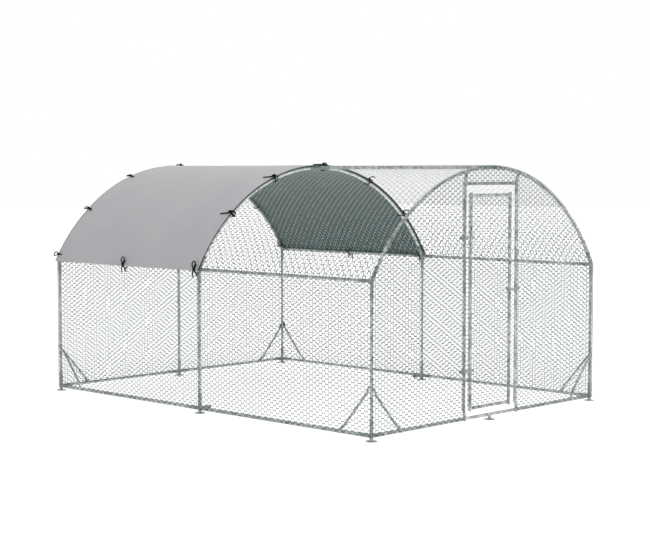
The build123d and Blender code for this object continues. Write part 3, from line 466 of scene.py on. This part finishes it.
def clipped(starts, ends, room):
    """The edges with an end inside, cut back to the border."""
    kept = (room(starts) > 0) | (room(ends) > 0)
    starts, ends = starts[kept], ends[kept]
    for outer, inner in ((starts, ends), (ends, starts)):
        crossing = room(outer) <= 0
        outside, inside = outer[crossing], inner[crossing]
        for _ in range(CLIP_STEPS):
            halfway = (outside + inside) / 2
            within = (room(halfway) > 0)[:, None]
            inside = np.where(within, halfway, inside)
            outside = np.where(within, outside, halfway)
        outer[crossing] = inside
    return starts, ends


def bars(edges, place, sides, half_width, half_depth, segments=1, turn=0.0, end_share=1.0, flatness=1.0):
    """Straight bars on a surface, turning about themselves. Gives points, faces and flat places."""
    starts, ends = edges
    (near, near_out), (far, far_out) = place(starts), place(ends)
    run = far - near
    along = run / np.linalg.norm(run, axis=1, keepdims=True)
    out = near_out + far_out
    out -= along * (out * along).sum(axis=1, keepdims=True)
    out /= np.linalg.norm(out, axis=1, keepdims=True)
    across = np.cross(out, along)
    points = []
    flat = []
    for ring in range(segments + 1):
        share = ring / segments
        size = end_share if ring in (0, segments) else 1.0
        turned = turn * share
        for side in range(sides):
            angle = 2 * math.pi * side / sides
            wide, deep = half_width * size * math.cos(angle), half_depth * size * math.sin(angle)
            sideways = wide * math.cos(turned) - deep * math.sin(turned)
            outwards = (wide * math.sin(turned) + deep * math.cos(turned)) * flatness
            points.append(near + run * share + across * sideways + out * outwards)
            flat.append(starts + (ends - starts) * share)
    face = [
        (
            ring * sides + side,
            ring * sides + (side + 1) % sides,
            (ring + 1) * sides + (side + 1) % sides,
            (ring + 1) * sides + side,
        )
        for ring in range(segments)
        for side in range(sides)
    ]
    first = np.arange(len(starts))[:, None, None] * len(points)
    faces = (np.array(face)[None] + first).reshape(-1, 4)
    return np.stack(points, axis=1).reshape(-1, 3), faces, np.stack(flat, axis=1).reshape(-1, 2)


def ring_faces(here, there):
    """Quads between closed rings of points, given as rows of indices."""
    corners = [here, np.roll(here, -1, axis=1), np.roll(there, -1, axis=1), there]
    return np.stack(corners, axis=-1).reshape(-1, 4)


def closed_tube(line, place, radius, sides):
    """A round wire along a closed border."""
    centre, out = place(line)
    along = np.roll(centre, -1, axis=0) - np.roll(centre, 1, axis=0)
    along /= np.linalg.norm(along, axis=1, keepdims=True)
    across = np.cross(out, along)
    angles = 2 * math.pi * np.arange(sides) / sides
    ring = across[:, None] * np.cos(angles)[:, None] + out[:, None] * np.sin(angles)[:, None]
    points = (centre[:, None] + radius * ring).reshape(-1, 3)
    here = np.arange(len(line))[:, None] * sides + np.arange(sides)
    return points, ring_faces(here, np.roll(here, -1, axis=0)), np.repeat(line, sides, axis=0)


def joined(parts):
    """Points, faces and flat places of several parts as one."""
    points, faces, flats = zip(*parts)
    firsts = np.cumsum([0] + [len(part) for part in points])
    faces = [part + first for part, first in zip(faces, firsts)]
    return np.vstack(points), np.vstack(faces), np.vstack(flats)


# How heavy a net's wires are at flat places, as a share of the side walls'
def even(share):
    return lambda flat: np.full((len(flat), 1), share)


def heavier_at_eaves(flat):
    slope = np.abs(flat[:, 1:]) / (math.sin(EAVE_ANGLE) * ROOF_NET_R)
    return RIDGE_WIRE_SHARE + (EAVE_WIRE_SHARE - RIDGE_WIRE_SHARE) * slope**EAVE_WIRE_POWER


def wire_net(node, place, room, line, low, high, body="frame", wire=net_wire, share=even(1.0)):
    """Hexagonal netting for a net's solid: twisted pairs, single wires between them and a selvage."""
    twisted, plain = (clipped(*edges, room) for edges in hexagon_edges(low, high))
    twisted_share, plain_share = (share((starts + ends) / 2) for starts, ends in (twisted, plain))
    half = WIRE_HALF_WIDTH * plain_share
    singles = bars(plain, place, WIRE_SIDES, half, half, flatness=NET_FLATNESS)
    pairs = bars(
        twisted,
        place,
        WIRE_SIDES,
        TWIST_HALF_WIDTH * twisted_share,
        TWIST_HALF_DEPTH * twisted_share,
        TWIST_SEGMENTS,
        TWIST_TURN,
        TWIST_END,
        NET_FLATNESS,
    )
    points, faces, flat = joined([singles, pairs, closed_tube(line, place, SELVAGE_R, WIRE_SIDES)])
    obj = add_mesh(node.replace("net", "wire"), points, faces, [wire])
    add_map(obj, "OFBake", (flat - low) / np.subtract(high, low))
    return finish_piece(obj, body, [node])


for side, outward in (("left", -1.0), ("right", 1.0)):
    for end in ("front", "rear"):
        node = f"net_{side}_{end}"
        low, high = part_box(node)
        level = (low.x if outward < 0 else high.x) + outward * NET_LIFT
        corners = (low.y, low.z), (high.y, high.z)
        border = in_rectangle(*corners), rectangle_line(*corners)
        wire_net(node, on_side(level, outward), *border, *corners)
arched_nets = {
    "net_front_left": -1.0,
    "net_front_right": -1.0,
    "net_over_door": -1.0,
    "net_rear_left": 1.0,
    "net_rear_right": 1.0,
}
for node, outward in arched_nets.items():
    low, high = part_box(node)
    level = (low.y if outward < 0 else high.y) + outward * NET_LIFT
    corners = (low.x, low.z), (high.x, high.z)
    share = even(FRONT_WIRE_SHARE if outward < 0 else 1.0)
    border = in_arch(*corners), arch_line(*corners)
    wire_net(node, on_end(level, outward), *border, *corners, share=share)
low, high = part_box("net_door")
corners = (low.x, low.z), (high.x, high.z)
door_surface = on_end(high.y + NET_LIFT, 1.0)
border = in_rectangle(*corners), rectangle_line(*corners)
wire_net("net_door", door_surface, *border, *corners, body="door", share=even(FRONT_WIRE_SHARE))
# the rear roof net lies under the cover and gets the lighter wire, painted light against the cloth's shade
for end, wire, share in (("front", net_wire, heavier_at_eaves), ("rear", painted_light_wire, even(1.0))):
    node = f"net_roof_{end}"
    low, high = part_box(node)
    half = math.sin(EAVE_ANGLE) * ROOF_NET_R
    corners = (low.y, -half), (high.y, half)
    border = in_rectangle(*corners), roof_line(*corners)
    wire_net(node, on_roof, *border, *corners, wire=wire, share=share)


# Ties and their places on the cover
def arch_out(angle):
    return Vector((math.sin(angle), 0, math.cos(angle)))


def tie_frame(angle, y, to_edge):
    """Origin on the axis of a tube, and three directions."""
    out = arch_out(angle)
    return out * ARCH_R + Vector((0, y, ARCH_Z)), to_edge, out.cross(to_edge), out


def tie_point(tie, point):
    origin, to_edge, along, out = tie
    return origin + (to_edge * point[0] + along * point[1] + out * point[2]) * MM


def from_knot(point):
    return point[0] + KNOT_AT, point[1], point[2] + TIE_LEVEL


def add_cords(name, routes, cyclic=False):
    """A round cord along each route, smooth between its points."""
    data = bpy.data.curves.new(name, "CURVE")
    data.dimensions = "3D"
    data.bevel_depth = TIE_D / 2 * MM
    data.bevel_resolution = TIE_BEVEL_STEPS
    data.resolution_u = TIE_CURVE_STEPS
    data.use_fill_caps = True
    data.materials.append(tie_black)
    for route in routes:
        spline = data.splines.new("NURBS")
        spline.points.add(len(route) - 1)
        for target, point in zip(spline.points, route):
            target.co = (*point, 1)
        spline.order_u = 3
        spline.use_cyclic_u = cyclic
        spline.use_endpoint_u = not cyclic
    obj = bpy.data.objects.new(name, data)
    bpy.context.scene.collection.objects.link(obj)
    return obj


def wrap_route(tie):
    """Round the tube and through the eyelet, with a point on each side of a corner."""
    inner, outer, low, high = -EYELET_INSET, TIE_OUTER, -TIE_UNDER, TIE_LEVEL
    near_inner, near_outer = inner + TIE_CORNER, outer - TIE_CORNER
    near_low, near_high = low + TIE_CORNER, high - TIE_CORNER
    ring = (
        (inner, near_low),
        (near_inner, low),
        (near_outer, low),
        (outer, near_low),
        (outer, near_high),
        (near_outer, high),
        (near_inner, high),
        (inner, near_high),
    )
    return [tie_point(tie, (reach, 0, level)) for reach, level in ring]


def knot_route(tie):
    """A short coil about the crossing of the bow."""
    route = []
    for share in np.linspace(0, 1, KNOT_POINTS):
        angle = 2 * math.pi * KNOT_TURNS * share
        reach = KNOT_REACH * (2 * share - 1)
        coil = reach, KNOT_COIL_R * math.cos(angle), KNOT_RISE + KNOT_COIL_R * math.sin(angle)
        route.append(tie_point(tie, from_knot(coil)))
    return route


def free_cord(name, tie, route, length, far_end, stiffness, lay):
    points = [tie_point(tie, from_knot(point)) for point in route]
    obj = finish_piece(add_cords(name, [points]), "frame", ["tie_cords"])
    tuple(points[0])


to_front, to_rear = Vector((0, -1, 0)), Vector((0, 1, 0))
corner_tie = EAVE_ANGLE * ARCH_R / MM - CORNER_TIE_RISE
ties = {
    "front_left": [tie_frame(place * MM / ARCH_R, 0.0, to_front) for place in FRONT_LEFT_TIES],
    "front_right": [tie_frame(place * MM / ARCH_R, 0.0, to_front) for place in FRONT_RIGHT_TIES],
    "rear": [tie_frame(place * MM / ARCH_R, REAR_Y, to_rear) for place in REAR_TIES],
    "corner": [tie_frame(place * MM / ARCH_R, REAR_Y, to_rear) for place in (-corner_tie, corner_tie)],
    "eave": [],
}
for side in (-1, 1):
    down = Vector((math.cos(EAVE_ANGLE) * side, 0, -math.sin(EAVE_ANGLE)))
    for y in (EYELET_INSET * MM, REAR_Y / 2):
        ties["eave"].append(tie_frame(side * EAVE_ANGLE, y, down))
all_ties = [tie for edge in ties.values() for tie in edge]
wraps = add_cords("tie_wrap_cords", [wrap_route(tie) for tie in all_ties], cyclic=True)
finish_piece(wraps, "frame", ["tie_wraps"])
knots = add_cords("tie_knots", [knot_route(tie) for tie in all_ties])
finish_piece(knots, "frame")
# Name, edge, route, length in metres, far end, stiffness and lie of each kind of free cord
cord_kinds = (
    ("left_loop", "front_left", FRONT_LOOP, 0.1297, "object", "limp", "hanging"),
    ("left_tail", "front_left", FRONT_TAIL, 0.0968, "bare", "limp", "loose"),
    ("left_ear", "front_left", LEFT_EAR, 0.0652, "bare", "medium", "loose"),
    ("right_loop", "front_right", FRONT_LOOP, 0.1297, "object", "limp", "hanging"),
    ("right_tail", "front_right", FRONT_TAIL, 0.0968, "bare", "limp", "loose"),
    ("right_ear", "front_right", RIGHT_EAR, 0.0727, "bare", "medium", "loose"),
    ("rear_loop", "rear", REAR_LOOP, 0.1125, "object", "limp", "loose"),
    ("rear_tail", "rear", REAR_TAIL, 0.0642, "bare", "limp", "loose"),
    ("corner_loop", "corner", CORNER_LOOP, 0.1367, "object", "limp", "loose"),
    ("eave_loop", "eave", EAVE_LOOP, 0.1404, "object", "limp", "loose"),
    ("eave_tail", "eave", EAVE_TAIL, 0.0688, "bare", "limp", "hanging"),
    ("eave_side_tail", "eave", EAVE_SIDE_TAIL, 0.0714, "bare", "limp", "hanging"),
)
for name, edge, route, length, *facts in cord_kinds:
    for count, tie in enumerate(ties[edge]):
        free_cord(f"tie_{name}_{count}", tie, route, length, *facts)

# Cover
tie_places = []
for origin, to_edge, _, _ in all_ties:
    eyelet = origin - to_edge * EYELET_INSET * MM
    tie_places.append((eyelet.y, COVER_R * math.atan2(eyelet.x, eyelet.z - ARCH_Z)))
ripple_draws = np.random.default_rng(RIPPLE_SEED).uniform(size=(RIPPLES, 4))


def cover_lift(flat):
    """How far the cloth stands off its taut arc."""
    y, around = flat[:, 0], flat[:, 1]
    span = (y - COVER_FRONT) / (COVER_REAR - COVER_FRONT)
    lift = -COVER_SAG * np.sin(math.pi * np.clip(span, 0, 1))
    for tie_y, tie_around in tie_places:
        away = np.hypot(y - tie_y, around - tie_around)
        fold = np.cos(TIE_FOLDS * np.arctan2(around - tie_around, y - tie_y))
        risen = 1 - np.exp(-away / TIE_PULL_START)
        lift += TIE_PULL * fold * np.exp(-away / TIE_PULL_REACH) * risen
    fewest, more = RIPPLE_RATES
    for along_y, along_arc, phase, size in ripple_draws:
        waves = (fewest + more * along_y) * y + (along_arc - 0.5) * RIPPLE_SLANT * around + phase
        height = RIPPLE_HEIGHT * (RIPPLE_LEAST + (1 - RIPPLE_LEAST) * size)
        lift += height * np.sin(2 * math.pi * waves)
    return lift


def on_cover(flat, offset=0.0):
    angle = flat[:, 1] / COVER_R
    outward = np.column_stack([np.sin(angle), np.zeros(len(flat)), np.cos(angle)])
    points = outward * (COVER_R + offset + cover_lift(flat))[:, None] + (0.0, 0.0, ARCH_Z)
    points[:, 1] = flat[:, 0]
    return points, outward


def cover_flat(along_count, around_low, around_high, around_count):
    """Flat places of a grid on the cover, drawn in at the lower edges between the ties."""
    y = np.linspace(COVER_FRONT, COVER_REAR, along_count)
    around = np.linspace(around_low, around_high, around_count)
    grid_y, grid_around = np.meshgrid(y, around, indexing="ij")
    between = np.sin(2 * math.pi * np.clip(grid_y / REAR_Y, 0, 1)) ** 2
    near_edge = np.clip(1 - (1 - np.abs(grid_around) / COVER_EDGE) / HEM_TUCK_SHARE, 0, 1)
    grid_around = grid_around - np.sign(grid_around) * HEM_TUCK * between * near_edge**2
    return np.column_stack([grid_y.ravel(), grid_around.ravel()])


def shell(flat, along_count, around_count, outer, inner):
    """A closed thin sheet over a grid of flat places, between two offsets.

    Gives points, faces and which faces look inwards.
    """
    top, under = on_cover(flat, outer)[0], on_cover(flat, inner)[0]
    index = np.arange(along_count * around_count).reshape(along_count, around_count)
    corners = [index[:-1, :-1], index[:-1, 1:], index[1:, 1:], index[1:, :-1]]
    quads = np.stack(corners, axis=-1).reshape(-1, 4)
    rim = np.concatenate([index[0, :-1], index[:-1, -1], index[-1, :0:-1], index[:0:-1, 0]])
    after = np.roll(rim, -1)
    below = len(flat)
    walls = np.stack([rim, rim + below, after + below, after], axis=-1)
    faces = np.vstack([quads[:, ::-1], quads + below, walls])
    inward = np.repeat([0, 1, 0], [len(quads), len(quads), len(walls)]).astype(np.int32)
    return np.vstack([top, under]), faces, inward


flat = cover_flat(COVER_ALONG, -COVER_EDGE, COVER_EDGE, COVER_AROUND)
points, faces, inward = shell(flat, COVER_ALONG, COVER_AROUND, 0.0, -COVER_T)
cover = add_mesh("cover_cloth", points, faces, [cover_outside, cover_inside])
cover.data.polygons.foreach_set("material_index", inward)
add_map(cover, "weave", np.vstack([flat, flat]))
unit = (flat - (COVER_FRONT, -COVER_EDGE)) / (COVER_REAR - COVER_FRONT, 2 * COVER_EDGE)
unit = unit * (MAP_HALF, 1.0)
add_map(cover, "OFBake", np.vstack([unit, unit + (1 - MAP_HALF, 0.0)]))
finish_piece(cover, "frame", ["roof_cover"])

hem_parts = []
for side in (-1, 1):
    edges = sorted((side * COVER_EDGE, side * (COVER_EDGE - HEM_WIDTH)))
    flat = cover_flat(COVER_ALONG, *edges, HEM_AROUND)
    points, faces, _ = shell(flat, COVER_ALONG, HEM_AROUND, -COVER_T, -COVER_T - HEM_T)
    hem_parts.append((points, faces, np.vstack([flat, flat])))
points, faces, flat = joined(hem_parts)
hem = add_mesh("cover_hem", points, faces, [cover_inside])
add_map(hem, "weave", flat)
finish_piece(hem, "frame")


def binding(y_edge, inward):
    """A tape folded over an arched edge: a closed section carried round the arc."""
    section = (
        (BINDING_WIDTH, BINDING_T),
        (0.0, BINDING_T),
        (-BINDING_T, BINDING_T / 2),
        (-BINDING_T, -COVER_T - BINDING_T / 2),
        (0.0, -COVER_T - BINDING_T),
        (BINDING_WIDTH, -COVER_T - BINDING_T),
        (BINDING_WIDTH, -COVER_T),
        (0.0, -COVER_T),
        (0.0, 0.0),
        (BINDING_WIDTH, 0.0),
    )
    around = np.linspace(-COVER_EDGE, COVER_EDGE, COVER_AROUND)
    rings = []
    flats = []
    for reach, offset in section:
        flat = np.column_stack([np.full(len(around), y_edge + inward * reach), around])
        rings.append(on_cover(flat, offset)[0])
        flats.append(flat)
    points = np.stack(rings, axis=1).reshape(-1, 3)
    here = np.arange(len(around))[:, None] * len(section) + np.arange(len(section))
    return points, ring_faces(here[:-1], here[1:]), np.stack(flats, axis=1).reshape(-1, 2)


points, faces, flat = joined([binding(COVER_FRONT, 1), binding(COVER_REAR, -1)])
tape = add_mesh("cover_binding", points, faces, [binding_tape])
finish_piece(tape, "frame")

stitch_y = np.arange(COVER_FRONT + STITCH_STEP, COVER_REAR - STITCH_STEP, STITCH_STEP)
stitch_parts = []
for side in (-1, 1):
    around = np.full(len(stitch_y), side * (COVER_EDGE - STITCH_INSET))
    starts = np.column_stack([stitch_y, around])
    ends = np.column_stack([stitch_y + STITCH_L, around])
    section = STITCH_SIDES, STITCH_R, STITCH_R
    stitch_parts.append(bars((starts, ends), on_cover, *section, STITCH_SEGMENTS, end_share=STITCH_END))
points, faces, _ = joined(stitch_parts)
stitches = add_mesh("cover_stitches", points, faces, [stitch_thread])
finish_piece(stitches, "frame")

# Finishes of the solids
finishes = {
    "joint": joint_steel,
    "foot_plates": joint_steel,
    "base_rail_joiner": joint_steel,
    "screws": dark_steel,
    "bolts": dark_steel,
    "hinge": hardware_steel,
    "latch": hardware_steel,
    "eyelets": eyelet_metal,
    "door_leaf_frame": leaf_steel,
    # the middle arch gets the lighter zinc, painted light against the shade of the cover's edge
    "arch_middle": painted_light_steel,
}
for name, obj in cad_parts.items():
    material = next((finish for word, finish in finishes.items() if word in name), tube_steel)
    obj.data.materials.clear()
    obj.data.materials.append(material)


# Floor, light and camera
def add_floor():
    mesh = bpy.data.meshes.new("floor")
    corners = [(x * FLOOR_HALF, y * FLOOR_HALF, 0) for x, y in ((-1, -1), (1, -1), (1, 1), (-1, 1))]
    mesh.from_pydata(corners, [], [(0, 1, 2, 3)])
    floor = bpy.data.objects.new("floor", mesh)
    bpy.context.scene.collection.objects.link(floor)
    material, _, _, shader = start_material("floor")
    shader.inputs["Base Color"].default_value = (FLOOR_GREY, FLOOR_GREY, FLOOR_GREY, 1)
    shader.inputs["Roughness"].default_value = 0.9
    shader.inputs["Emission Color"].default_value = (1, 1, 1, 1)
    shader.inputs["Emission Strength"].default_value = FLOOR_GLOW
    mesh.materials.append(material)


def add_light(name, place, target, size, power):
    data = bpy.data.lights.new(name, "AREA")
    data.energy = power
    data.size = size
    light = bpy.data.objects.new(name, data)
    light.location = place
    light.rotation_mode = "QUATERNION"
    light.rotation_quaternion = (Vector(target) - Vector(place)).to_track_quat("-Z", "Y")
    bpy.context.scene.collection.objects.link(light)


add_floor()
world = bpy.data.worlds.new("studio")
world.use_nodes = True
world.node_tree.nodes["Background"].inputs["Color"].default_value = (1, 1, 1, 1)
world.node_tree.nodes["Background"].inputs["Strength"].default_value = 1.0
bpy.context.scene.world = world
bpy.context.scene.view_settings.view_transform = "Standard"
add_light("top", (0, 0, TOP_LIGHT_HEIGHT), (0, 0, 0), TOP_LIGHT_SIZE, TOP_LIGHT_POWER)

camera_data = bpy.data.cameras.new("camera")
camera_data.sensor_width = SENSOR_WIDTH
camera_data.lens = FOCAL_PIXELS * SENSOR_WIDTH / IMAGE_WIDTH
camera = bpy.data.objects.new("camera", camera_data)
camera.location = CAMERA_PLACE
level = math.cos(CAMERA_PITCH)
direction = Vector((math.sin(CAMERA_YAW) * level, math.cos(CAMERA_YAW) * level, -math.sin(CAMERA_PITCH)))
camera.rotation_mode = "QUATERNION"
camera.rotation_quaternion = direction.to_track_quat("-Z", "Y")
bpy.context.scene.collection.objects.link(camera)
bpy.context.scene.camera = camera
